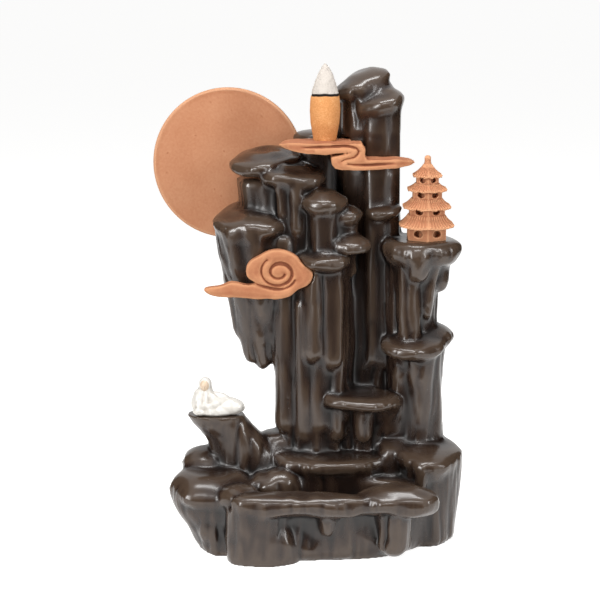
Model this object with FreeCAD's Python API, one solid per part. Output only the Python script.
import FreeCAD, Part
import math
import os

from FreeCAD import Vector

# Backflow incense burner: a slip-cast ceramic mountain with a pool at its foot,
# dressed with separate clay ornaments. Millimetres, X right, -Y front, +Z up.
# It is laid out about a working origin and moved to its own middle at the end.

# Mountain
wall = 5.0                   # thickness of the cast wall
rim_height = 35.0            # top of the pool's rim above the table
pool_depth = 15.0
pool_floor = 6.0             # thickness under the pool
pool_half = (44.0, 12.0)     # half width and half depth of the pool
pool_middle = (10.0, -35.5)
step_height = 45.5           # ledge behind the pool
cascade_height = 78.0        # ledge that the smoke falls onto
perch_height = 67.5          # flat top that carries the seated figure
terrace_height = 159.0       # flat top that carries the pagoda
right_ledge_height = 106.5
right_shelf_height = 50.0
pillar_height = 240.5
left_brow_height = 197.0
left_block_height = 171.0

# Moon
moon_radius = 40.5
moon_thickness = 5.0
moon_centre = (-45.0, 193.0)
moon_seat = 35.5             # flat back of the left cliff, the disc is glued to it

# Clouds
tray_top = 209.2             # the cone stands on it
tray_front = -16.0
tray_back = 1.0              # where the tray is glued to the pillar
wing_back = 11.0             # the wing beside the pillar reaches further back
wing_end = 20.0              # x of the step between the two backs
cloud_middle = (-16.6, 144.0)
cloud_seat = -13.2           # the spiral cloud is glued to this flat
cloud_thickness = 5.0
groove_depth = 1.1           # of the lines pressed into both clouds
glue_gap = 0.3               # around the edge of a seat

# Pagoda
pagoda_spot = (59.0, -3.0)
pagoda_radius = 11.1         # corners of the hexagonal base
pagoda_wall = 2.0
terrace_margin = 4.5         # from the base's corners to the ledge's edge

# Seated figure
figure_spot = (-50.0, -13.0)
figure_half = (11.6, 6.6)

# Cone
cone_spot = (6.6, 3.0)
cone_radius = 7.8
cone_height = 38.8
cone_bore = 3.8              # diameter of the blind hole in its base
bore_depth = 13.0
smoke_hole = 5.0             # diameter through the tray, under the cone


def ring(centre, half, z, lobes=(), tilt=(0.0, 0.0), points=18, sag=None):
    """Closed spline on an ellipse that swells in lobes, leans with tilt and hangs with sag."""
    spots = []
    for i in range(points):
        a = 2 * math.pi * i / points
        swell = 1.0 + sum(size * math.cos(count * a + turn) for count, size, turn in lobes)
        dx = half[0] * swell * math.cos(a)
        dy = half[1] * swell * math.sin(a)
        dz = tilt[0] * dx + tilt[1] * dy
        if sag:
            dz += sag[1] * math.cos(sag[0] * a + sag[2])
        spots.append(Vector(centre[0] + dx, centre[1] + dy, z + dz))
    curve = Part.BSplineCurve()
    curve.interpolate(spots, PeriodicFlag=True)
    return Part.Wire(curve.toShape())


def shaft(levels, turn, count=7, depth=0.035):
    """A fluted column lofted through (z, x, y, half width, half depth) levels."""
    lobes = ((3, depth, turn), (count, depth, 2.1 * turn), (2, 0.02, turn + 1.0))
    rings = [ring((x, y), (hx, hy), z, lobes, points=3 * count) for z, x, y, hx, hy in levels]
    return Part.makeLoft(rings, True, False)


def cap(centre, half, z, lip=2.5, thick=7.0, tilt=(0.0, 0.0), turn=0.0, crown=0.0, hang=1.0):
    """The rounded brow on a column, like poured wax. z is where its top begins."""
    lobes = ((3, 0.05, turn), (5, 0.03, 2.3 * turn))
    rings = []
    for rise, out, fall in ((-1.0, -0.4, 0.0), (-0.75, 0.5, 0.8), (-0.42, 1.0, 1.0), (-0.14, 0.55, 0.3), (0.0, -0.6, 0.0)):
        size = (half[0] + lip * out, half[1] + lip * out)
        sag = (5, hang * fall, 1.7 * turn) if fall else None
        rings.append(ring(centre, size, z + rise * thick, lobes, tilt, 15, sag))
    if crown:
        rings.append(ring(centre, (half[0] * 0.65, half[1] * 0.65), z + crown * 0.7, lobes, tilt, 15))
        rings.append(ring(centre, (half[0] * 0.3, half[1] * 0.3), z + crown, lobes, tilt, 15))
    return Part.makeLoft(rings, True, False)


def drip(x, y, z_top, z_end, r_top, r_end):
    """A hanging drop with a round end."""
    ball = z_end + r_end
    body = Part.makeCone(r_end, r_top, z_top - ball, Vector(x, y, ball))
    return body.fuse(Part.makeSphere(r_end, Vector(x, y, ball)))


def pipe(x, y, half, z_top, z_end, turn, lean=(0.0, 0.0)):
    """A stout hanging column with a round foot, as two stacked lofts."""
    hx, hy = half
    lobes = ((3, 0.04, turn), (5, 0.04, 2.1 * turn))
    foot = []
    for rise, size in ((0.0, 0.45), (0.22, 0.75), (0.55, 0.93), (1.0, 1.0)):
        foot.append(ring((x, y), (hx * size, hy * size), z_end + rise * hx, lobes, points=15))
    rise = z_end + hx
    tall = []
    for share in (0.0, 0.5, 1.0):
        spot = (x + lean[0] * share, y + lean[1] * share)
        tall.append(ring(spot, half, rise + share * (z_top - rise), lobes, points=15))
    return Part.makeLoft(foot, True, False).fuse(Part.makeLoft(tall, True, False))


base_levels = ((0, 3, -4.5, 63, 43.5), (11, 3, -4.5, 66.5, 44.5), (24, 2, -4.5, 70, 45.5), (rim_height - 4, 2, -4.5, 69.5, 46),
               (rim_height, 2, -4.5, 66, 43))
boulder_levels = ((0, -40, -26, 18.5, 17), (13, -45, -25, 20, 18), (27, -51, -24, 21.5, 20), (34, -52.5, -22, 20, 18), (39, -52, -20, 13, 12))
corner_levels = ((0, -25, -46, 18.5, 10), (14, -26, -46.5, 18, 10), (28, -27, -47, 16, 9))
saddle_levels = ((12, -27, -8, 19, 16), (30, -26, -7, 17, 13), (45, -21, -3, 13, 10), (54, -18, 0, 8, 7))
perch_levels = ((20, -34, -4, 23, 16), (36, -36, -5, 19, 14), (50, -38.5, -7, 16, 12), (perch_height - 7.5, -45.5, -9.5, 14.5, 10.5),
                (perch_height, -50, -12, 15.5, 9.5))
front_levels = ((4, 3, 10, 22, 22), (52, 3, 9, 21, 21), (100, 2, 9, 21, 20), (152, 0, 10, 20, 19))
back_levels = ((4, 26, 15, 30, 18), (70, 26, 16, 28, 15), (136, 27, 17, 26, 15), (158, 28, 16, 20, 11))
brow_levels = ((97, -12, 15, 8, 9), (118, -16, 17, 15, 16), (150, -19, 18, 17, 19), (left_brow_height - 9, -22, 18, 18, 20))
block_levels = ((92, -25, 6, 7, 8), (108, -27, 6, 11, 12), (126, -29, 7, 14, 17), (146, -30.5, 8, 16.5, 21), (left_block_height - 6, -33, 9, 17.5, 24))
pillar_levels = ((4, 30, 18, 19, 17), (80, 30, 17, 17, 16), (160, 30, 17, 16, 15), (pillar_height - 3.5, 27.5, 17, 13.5, 13))
foot_levels = ((0, 58, -8, 17, 21), (22, 60.5, -9, 16.5, 20), (right_shelf_height - 4, 62.5, -10, 16.5, 19))
cliff_levels = ((40, 56, 0, 15, 15), (72, 55, 1, 14, 14), (103, 54, 0, 14, 14))
upper_levels = ((98, 53, 4, 13.5, 13), (125, 52, 4, 13.5, 13), (terrace_height - 7, 54.5, 1.5, 14.5, 14.5))


def basin():
    body = shaft(base_levels, 0.4, 7, 0.02)
    floor = rim_height - pool_depth
    bowl = Part.makeLoft([
        ring(pool_middle, (pool_half[0] * 0.73, pool_half[1] * 0.55), floor),
        ring(pool_middle, (pool_half[0] * 0.91, pool_half[1] * 0.85), floor + pool_depth * 0.2),
        ring(pool_middle, pool_half, floor + pool_depth * 0.65),
        ring(pool_middle, (pool_half[0] + 1, pool_half[1] + 0.5), rim_height + 3),
    ], True, False)
    return body.cut(bowl)


def front_rim():
    low = rim_height - 5
    return [
        shaft(corner_levels, 0.8, 6, 0.02),
        cap((-6, -50), (33, 6.5), rim_height + 1, 2.3, 10, (0, 0), 0.7, 1, 2.2),
        cap((44, -46), (19, 10), rim_height + 2, 2.3, 11, (0, 0), 1.7, 2.5, 2),
        drip(-7, -48.5, low, 9, 8.5, 6),
        drip(8, -48, low, 14, 7, 4),
        drip(42, -45.5, low, 2.5, 9, 7),
        drip(57, -39, low, 20, 6, 4),
    ]


def left_boulders():
    return [
        shaft(boulder_levels, 1.0, 7, 0.03),
        cap((-56, -8), (11, 9), 45, 2, 11, (0, 0.1), 0.3, 2),
        shaft(saddle_levels, 0.5, 5, 0.02),
        shaft(perch_levels, 2.0, 5, 0.02),
    ]


def heart():
    """The middle of the mountain behind the pool."""
    return [
        shaft(front_levels, 0.9, 9, 0.02),
        shaft(back_levels, 1.9, 9, 0.02),
        pipe(-12, -2, (7, 8), 160, 55, 0.2, (-2, 1)),
        pipe(-3, -6, (6, 7.5), 150, 51, 1.2),
        pipe(5, -8, (5.5, 7), 150, 57, 2.2),
        pipe(13, -7, (6, 7.5), 150, 52, 3.2),
        pipe(19, 28, (8, 7.5), 150, 44, 0.5),
        pipe(38, 27, (7, 7), 146, 66, 1.5),
        pipe(3, 31, (6, 6), 170, 74, 2.5),
    ]


def step():
    return [
        shaft([(16, 12, -4, 33, 20), (30, 12, -4, 33.5, 20.5), (step_height - 2.5, 12, -4, 33, 21)], 0.1, 7, 0.015),
        cap((12, -6), (32, 21), step_height, 1.5, 6, (0, 0.03), 0.5),
        cap((-17, -23), (8, 7), 38, 1.5, 8, (0, 0), 1.5, 2),
    ]


def cascade_ledge():
    low = cascade_height - 3.5
    return [
        shaft([(40, 29, -2, 10, 8), (57, 28, -4, 11, 8), (low, 27, -8, 14, 9)], 1.9, 6, 0.04),
        cap((26.5, -13), (18.5, 12), cascade_height, 1.5, 5, (-0.02, 0.06), 2.5),
        drip(17, -12, low, 63, 4.5, 2.5),
        drip(27, -14, low, 52, 5, 3.6),
        shaft([(54, 41, -3, 6.5, 7), (64, 39.5, -6, 8, 8), (low, 38, -9, 9, 9)], 0.7, 5, 0.03),
    ]


def small_ledges():
    """The little stack that the smoke falls down."""
    return [
        shaft([(140, 6.5, -8, 8, 8), (160, 6.5, -8, 7.5, 7.5), (179, 6.5, -8, 8.5, 8.5)], 0.4, 6, 0.04),
        cap((6.5, -8), (9.5, 9.5), 182, 2, 7, (0.03, 0.1), 0.4, 2.6),
        cap((6.5, -10), (10.5, 11), 152.5, 2.5, 6.5, (0, 0.1), 1.4, 1.5),
        pipe(1.5, -11, (5.5, 7), 150, 96, 0.7),
        pipe(11, -11, (6, 7), 150, 92, 1.7),
        shaft([(140, 17, -3, 6, 6), (157, 17, -5, 5.5, 5), (172, 17.5, -6, 6, 5.5)], 0.8, 5, 0.03),
        cap((17.5, -6), (7, 6.5), 174, 1.5, 5, (0.1, 0.1), 2.4, 2, 0.6),
        cap((20, -9.5), (10, 8), 159, 1.5, 5, (0.0, 0.1), 3.4, 2, 0.6),
    ]


def left_cliff():
    low = left_brow_height - 11
    return [
        # upper block with two brows
        shaft(brow_levels, 0.3, 8, 0.035),
        cap((-25, 16), (16, 19), left_brow_height + 3, 2.5, 6.5, (0.1, 0.12), 0.8, 1.8),
        shaft([(110, -8, 6, 13, 13), (148, -8, 6, 13.5, 13), (low, -8, 5, 14, 13)], 1.3, 8, 0.035),
        cap((-9.5, 3), (15, 13), left_brow_height - 2.5, 2.5, 7.5, (-0.06, 0.12), 1.8, 2.2),
        drip(-8, -8, low, 162, 3.8, 2),
        drip(-15, -6, low, 170, 3.4, 2),
        # left block that hangs over the perch
        shaft(block_levels, 2.3, 8, 0.04),
        cap((-34, 8), (15.5, 19), left_block_height, 2.5, 7, (0.08, 0.16), 1.1, 1.5),
        cap((-27.5, -4), (11, 10), left_block_height - 1.5, 2.3, 6.5, (-0.05, 0.15), 2.1, 1.5),
        drip(-32, 2, 120, 91, 7, 4),
        drip(-26, 0, 116, 88, 7, 3.5),
        drip(-37, 4, 126, 104, 6, 3.6),
        # behind, between the cliff and the pillar
        shaft([(30, 1, 20, 16, 14), (118, 2.5, 24, 14.5, 12), (207, 4, 24.5, 13, 11)], 1.7, 8, 0.03),
        cap((4, 24), (12, 10), 211, 2, 6, (0.05, 0.05), 2.8, 2),
    ]


def pillar():
    return [
        shaft(pillar_levels, 0.6, 8, 0.025),
        cap((25.5, 17), (12, 12), pillar_height, 2.5, 8.5, (0.36, 0.12), 1.2, 2.2, 0.4),
        shaft([(90, 35, 10, 11, 11), (125, 35, 9.5, 11, 11), (160, 35, 9, 11, 11), (195, 35.2, 8.8, 10.6, 10.6), (pillar_height - 13, 35.5, 8.5, 10, 10)], 1.6, 7, 0.03),
        cap((35.8, 7.8), (10, 9.2), pillar_height - 9, 2.5, 8.5, (0.22, 0.1), 2.4, 2.6, 0.4),
        cap((37, 1), (7.5, 6.2), 175.3, 1.4, 5, (0.1, 0.2), 0.35, 1.2, 0.6),
    ]


def right_cliff():
    ledge = right_ledge_height
    under = terrace_height - 8
    spread = pagoda_radius + terrace_margin + 1.6
    return [
        shaft(foot_levels, 0.7, 7, 0.03),
        cap((64, -12), (17, 19), right_shelf_height, 2.6, 8, (-0.05, 0.08), 1.5, 2),
        drip(57, -30, right_shelf_height - 4, 34, 5, 3.5),
        shaft(cliff_levels, 1.7, 7, 0.03),
        cap((52, -6), (14, 15), ledge, 2.5, 7, (0, 0.08), 0.5, 1.5),
        cap((63.5, 3.5), (9, 10), ledge + 3.5, 2.2, 8, (0, 0.05), 1.5, 1.5),
        drip(57, -9.5, ledge - 3.5, 60, 7, 5),
        drip(64, -5, ledge - 3.5, 83, 4, 2.2),
        drip(67, 2, ledge - 3.5, 77, 3.6, 2.3),
        shaft(upper_levels, 2.7, 7, 0.03),
        cap((pagoda_spot[0] - 2.6, pagoda_spot[1] + 2), (spread, spread), terrace_height, 2.4, 12, (0, 0), 0.9, 0, 1.5),
        drip(50.5, -9.5, under, 105, 7, 5),
        drip(54, -14.5, under + 2, 138.5, 8, 5.5),
        drip(60, -9, under, 118, 6, 2.2),
        drip(66, -3, under, 131, 5.5, 4.3),
    ]


def level_at(levels, z):
    for low, high in zip(levels[:-1], levels[1:]):
        if z <= high[0] or high is levels[-1]:
            share = (z - low[0]) / (high[0] - low[0])
            return (z,) + tuple(a + (b - a) * share for a, b in zip(low[1:], high[1:]))


def hollow(levels, low, high):
    """The space a wall's thickness inside a shaft, from one height to another."""
    between = [level for level in levels if low + 2 < level[0] < high - 2]
    rings = []
    for z, x, y, hx, hy in [level_at(levels, low)] + between + [level_at(levels, high)]:
        rings.append(ring((x, y), (hx * 0.95 - wall, hy * 0.95 - wall), z))
    return Part.makeLoft(rings, True, True)


def hollows():
    """The slip-cast inside, open underneath."""
    under_pool = rim_height - pool_depth - pool_floor
    join = under_pool - 2
    return [
        hollow(base_levels, -1, under_pool),
        hollow(boulder_levels, join, boulder_levels[-2][0] - wall),
        hollow(perch_levels, 21, perch_height - 2 * wall),
        hollow(front_levels, join, front_levels[-1][0] - wall),
        hollow(back_levels, join, back_levels[-2][0]),
        hollow(pillar_levels, join, pillar_height - 3 * wall),
        hollow(foot_levels, join, right_shelf_height - 2 * wall),
        hollow(cliff_levels, 30, right_ledge_height - wall),
        hollow(upper_levels, 97, terrace_height - 2 * wall),
        hollow(brow_levels, 110, left_brow_height - 3 * wall),
        hollow(block_levels, 112, left_block_height - 2 * wall),
    ]


def prism(spots, y_front, y_back, curved=True):
    """Extrude an outline of (x, z) spots from y_front to y_back."""
    points = [Vector(x, y_front, z) for x, z in spots]
    if curved:
        curve = Part.BSplineCurve()
        curve.interpolate(points, PeriodicFlag=True)
        wire = Part.Wire(curve.toShape())
    else:
        wire = Part.makePolygon(points + [points[0]])
    return Part.Face(wire).extrude(Vector(0, y_back - y_front, 0))


def line_groove(path, width, y_face):
    """A pressed line of the given width along (x, z) spots on a face that looks forward."""
    left = []
    right = []
    for i, spot in enumerate(path):
        before = path[max(i - 1, 0)]
        after = path[min(i + 1, len(path) - 1)]
        dx = after[0] - before[0]
        dz = after[1] - before[1]
        size = math.hypot(dx, dz)
        share = math.sin(math.pi * (i + 0.7) / (len(path) + 0.4))
        half = width * (0.25 + 0.25 * share)
        left.append((spot[0] - dz / size * half, spot[1] + dx / size * half))
        right.append((spot[0] + dz / size * half, spot[1] - dx / size * half))
    return prism(left + right[::-1], y_face - 1.0, y_face + groove_depth, False)


def smooth_path(spots, count):
    """Even samples on a spline through (x, z) spots."""
    curve = Part.BSplineCurve()
    curve.interpolate([Vector(x, 0, z) for x, z in spots])
    return [(v.x, v.z) for v in curve.discretize(count)]


def moon_disc():
    disc = Part.makeCylinder(moon_radius, moon_thickness, Vector(moon_centre[0], moon_seat, moon_centre[1]), Vector(0, 1, 0))
    return disc.makeFillet(1.3, disc.Edges)


# the tray from the front, as (x, depth below its top)
tray_outline = (
    (-17.2, 1.2), (-12.0, 0.0), (25.0, 0.0), (26.8, 3.0), (26.6, 6.2), (27.8, 8.2), (42.8, 8.0), (50.0, 9.0), (52.6, 10.4),
    (50.0, 11.4), (42.9, 12.4), (27.5, 13.4), (15.3, 13.4), (11.7, 12.4), (9.9, 10.2), (9.6, 7.0), (9.0, 5.8),
    (-3.1, 5.2), (-10.7, 3.8), (-15.9, 2.0),
)
tray_height = 13.4


def on_tray(spots):
    return [(x, tray_top - below) for x, below in spots]


def tray_blank():
    body = prism(on_tray(tray_outline), tray_front, wing_back, False)
    plan = ((-17.4, -4), (-16.8, -8), (-12, -13), (-3, tray_front + 0.4), (8, tray_front), (30, tray_front), (42, tray_front + 1),
            (49.5, tray_front + 4.5), (52.4, -7), (52.2, -3), (50, tray_back), (wing_end, tray_back), (wing_end, wing_back),
            (0, wing_back), (-9, wing_back - 2.5), (-14.5, 3))
    low = tray_top - tray_height - 5
    base = Part.makePolygon([Vector(x, y, low) for x, y in plan + (plan[0],)])
    return body.common(Part.Face(base).extrude(Vector(0, 0, tray_height + 10)))


def cloud_tray():
    body = tray_blank()
    fold = prism(on_tray(((8.0, 7.0), (19.8, 4.7), (19.9, 4.1), (8.0, 5.4))), tray_front - 1, tray_front + 7, False)
    body = body.cut(fold)
    upper = on_tray(((-11, 1.6), (0, 1.8), (12, 1.3), (20, 1.6), (23.4, 3.4), (22.4, 5.8), (17.5, 7.6), (14.4, 9.2)))
    lower = on_tray(((17.5, 10.0), (26, 10.6), (36, 10.2), (46, 10.0)))
    body = body.cut(line_groove(smooth_path(upper, 26), 1.3, tray_front + 0.2))
    body = body.cut(line_groove(smooth_path(lower, 14), 1.3, tray_front + 0.3))
    hole = Part.makeCylinder(smoke_hole / 2, tray_height + 4, Vector(cone_spot[0], cone_spot[1], tray_top - tray_height - 2))
    return body.cut(hole)


# the spiral cloud from the front, as (x, height) from the middle of its spiral
cloud_outline = (
    (-38.0, -9.8), (-36.3, -11.1), (-24.6, -12.9), (-15.3, -13.6), (-7.0, -13.9), (1.4, -13.4), (6.5, -11.6), (10.0, -8.9),
    (14.0, -7.0), (16.6, -3.8), (17.2, -0.8), (15.6, 2.0), (12.0, 4.4), (9.5, 7.6), (6.2, 10.0), (2.2, 11.4),
    (-2.2, 11.7), (-6.8, 10.4), (-10.7, 8.2), (-13.9, 6.4), (-16.2, 3.6), (-16.8, 0.2), (-15.4, -3.2),
    (-12.0, -5.4), (-14.9, -6.4), (-19.4, -6.0), (-24.7, -5.2), (-30.2, -7.1),
)


def on_cloud(spots):
    return [(cloud_middle[0] + x, cloud_middle[1] + z) for x, z in spots]


def spiral(turns, start, count):
    spots = []
    for i in range(count + 1):
        a = start + 2 * math.pi * turns * i / count
        r = 3.0 + 6.8 * (i / count) ** 1.25
        spots.append((r * math.cos(a), 0.86 * r * math.sin(a)))
    return spots


def cloud_ornament():
    face = cloud_seat - cloud_thickness
    body = prism(on_cloud(cloud_outline), face, cloud_seat)
    body = body.cut(line_groove(on_cloud(spiral(-1.62, -0.2, 56)), 1.6, face))
    tail = ((-14.4, -4.4), (-11.0, -6.1), (-6.4, -7.6), (-2.4, -8.4), (2.0, -8.5), (6.0, -6.6), (8.2, -3.6))
    return body.cut(line_groove(smooth_path(on_cloud(tail), 22), 1.4, face))


def hexagon(radius, z):
    spots = []
    for i in range(7):
        a = math.radians(60 * i - 90)
        spots.append(Vector(pagoda_spot[0] + radius * math.cos(a), pagoda_spot[1] + radius * math.sin(a), z))
    return Part.makePolygon(spots)


# (eave's height above the base, eave's radius, height where the next storey starts, radius of that storey)
pagoda_roofs = ((8.9, 15.4, 12.6, 10.0), (19.3, 13.5, 22.4, 8.4), (27.9, 11.0, 30.4, 6.4), (34.6, 8.1, 39.4, 1.9))
# (height of the middle, width, height)
pagoda_windows = ((4.6, 3.4, 3.4), (15.3, 3.0, 4.0), (24.2, 2.7, 3.8), (31.7, 2.4, 3.2))
finial_radius = 1.5


def pagoda():
    base = terrace_height
    x, y = pagoda_spot
    pieces = []
    storey = pagoda_radius
    start = 0.0
    for eave, radius, top, above in pagoda_roofs:
        pieces.append(Part.makeLoft([hexagon(storey, base + start), hexagon(storey, base + eave - 0.6)], True, True))
        pieces.append(Part.makeLoft([
            hexagon(storey * 0.98, base + eave - 1.4), hexagon(radius * 0.97, base + eave - 0.5), hexagon(radius, base + eave + 0.4),
            hexagon(radius * 0.55 + above * 0.45, base + eave + 0.4 + (top - eave) * 0.38), hexagon(above, base + top),
        ], True, True))
        storey = above
        start = top - 0.6
    point = base + pagoda_roofs[-1][2] - 0.8
    pieces.append(Part.makeCone(finial_radius + 0.5, finial_radius, 3.4, Vector(x, y, point)))
    pieces.append(Part.makeSphere(finial_radius, Vector(x, y, point + 3.4)))
    body = pieces[0].multiFuse(pieces[1:])
    inside = [
        hexagon(pagoda_radius - pagoda_wall, base - 1), hexagon(pagoda_roofs[1][3] - pagoda_wall, base + pagoda_roofs[1][0]),
        hexagon(pagoda_roofs[2][3] - pagoda_wall, base + pagoda_roofs[3][0] - 0.6),
    ]
    body = body.cut(Part.makeLoft(inside, True, True))
    for rise, wide, tall in pagoda_windows:
        for turn in (0, 60, 120):
            window = Part.makeCylinder(wide / 2, 3 * pagoda_radius, Vector(0, -1.5 * pagoda_radius, 0), Vector(0, 1, 0))
            squash = FreeCAD.Matrix()
            squash.scale(1, 1, tall / wide)
            window = window.transformGeometry(squash)
            window.rotate(Vector(0, 0, 0), Vector(0, 0, 1), turn + 30)
            window.translate(Vector(x, y, base + rise))
            body = body.cut(window)
    return body


def seated_figure():
    """Hooded, cross-legged and turned a little to the left."""
    x, y = figure_spot
    z = perch_height
    wide, deep = figure_half
    robe = Part.makeLoft([
        ring((x, y), (wide, deep), z), ring((x, y), (wide * 1.07, deep * 1.09), z + 2.2),
        ring((x - 0.8, y), (wide * 0.93, deep), z + 5), ring((x - 2.6, y + 0.2), (wide * 0.66, deep * 0.85), z + 8.5),
        ring((x - 3.6, y + 0.4), (wide * 0.48, deep * 0.73), z + 12), ring((x - 3.9, y + 0.4), (wide * 0.28, deep * 0.45), z + 14.6),
    ], True, False)
    head = Part.makeSphere(3.3, Vector(x - 4.6, y - 1.0, z + 16.0))
    hood = Part.makeSphere(4.0, Vector(x - 3.6, y + 0.2, z + 16.2))
    right_knee = Part.makeSphere(3.4, Vector(x + wide - 3.2, y - 1.6, z + 3.6))
    left_knee = Part.makeSphere(3.2, Vector(x - wide + 4.0, y - 3.4, z + 3.6))
    return robe.multiFuse([head, hood, right_knee, left_knee])


def incense_cone():
    shape = ((0.0, 0.72), (0.03, 0.77), (0.21, 0.94), (0.39, 1.0), (0.52, 0.96), (0.62, 0.87), (0.77, 0.56), (0.9, 0.27), (0.98, 0.115))
    profile = [Vector(cone_radius * r, 0, cone_height * h) for h, r in shape]
    curve = Part.BSplineCurve()
    curve.interpolate(profile)
    foot = Vector(0, 0, 0)
    tip = Vector(0, 0, cone_height)
    wire = Part.Wire([Part.makeLine(foot, profile[0]), curve.toShape(), Part.makeLine(profile[-1], tip), Part.makeLine(tip, foot)])
    body = Part.Face(wire).revolve(Vector(0, 0, 0), Vector(0, 0, 1), 360)
    bore = Part.makeCylinder(cone_bore / 2, bore_depth + 1, Vector(0, 0, -1))
    body = body.cut(bore.fuse(Part.makeCone(cone_bore / 2, 0.3, 1.6, Vector(0, 0, bore_depth))))
    body.translate(Vector(cone_spot[0], cone_spot[1], tray_top))
    return body


def mountain_parts():
    groups = (front_rim, left_boulders, heart, step, cascade_ledge, small_ledges, left_cliff, pillar, right_cliff)
    return [basin()] + [solid for group in groups for solid in group()]


def seats():
    """What is cut from the rock so that each ornament lies on a flat."""
    grown = [(x * 1.02 + glue_gap * 0.5, z * 1.03) for x, z in cloud_outline]
    return [
        tray_blank(),
        Part.makeBox(16, 31, 7.2, Vector(wing_end - 16, wing_back - 31, tray_top - 6.2)),
        Part.makeBox(130, 40, 140, Vector(-110, moon_seat, 105)),
        prism(on_cloud(grown), cloud_seat - 30, cloud_seat),
        Part.makeBox(200, 160, 10, Vector(-100, -80, -10)),
    ]


def mountain():
    solids = mountain_parts()
    body = solids[0].multiFuse(solids[1:])
    return body.cut(hollows() + seats())


def main():
    os.makedirs("parts", exist_ok=True)
    pieces = {
        "mountain": mountain(),
        "moon_disc": moon_disc(),
        "cloud_tray": cloud_tray(),
        "cloud_ornament": cloud_ornament(),
        "pagoda": pagoda(),
        "seated_figure": seated_figure(),
        "incense_cone": incense_cone(),
    }
    spots = [v for shape in pieces.values() for v in shape.tessellate(0.1)[0]]
    low = [min(getattr(v, axis) for v in spots) for axis in "xyz"]
    high = [max(getattr(v, axis) for v in spots) for axis in "xyz"]
    shift = Vector(-(low[0] + high[0]) / 2, -(low[1] + high[1]) / 2, -low[2])
    for name, shape in pieces.items():
        shape.translate(shift)
        print(name, shape.isValid(), len(shape.Solids), len(shape.Faces), round(shape.Volume / 1000, 2))
        shape.exportStep("parts/" + name + ".step")
    print("size", [round(b - a, 2) for a, b in zip(low, high)], "shift", shift)


if __name__ == "__main__":
    main()
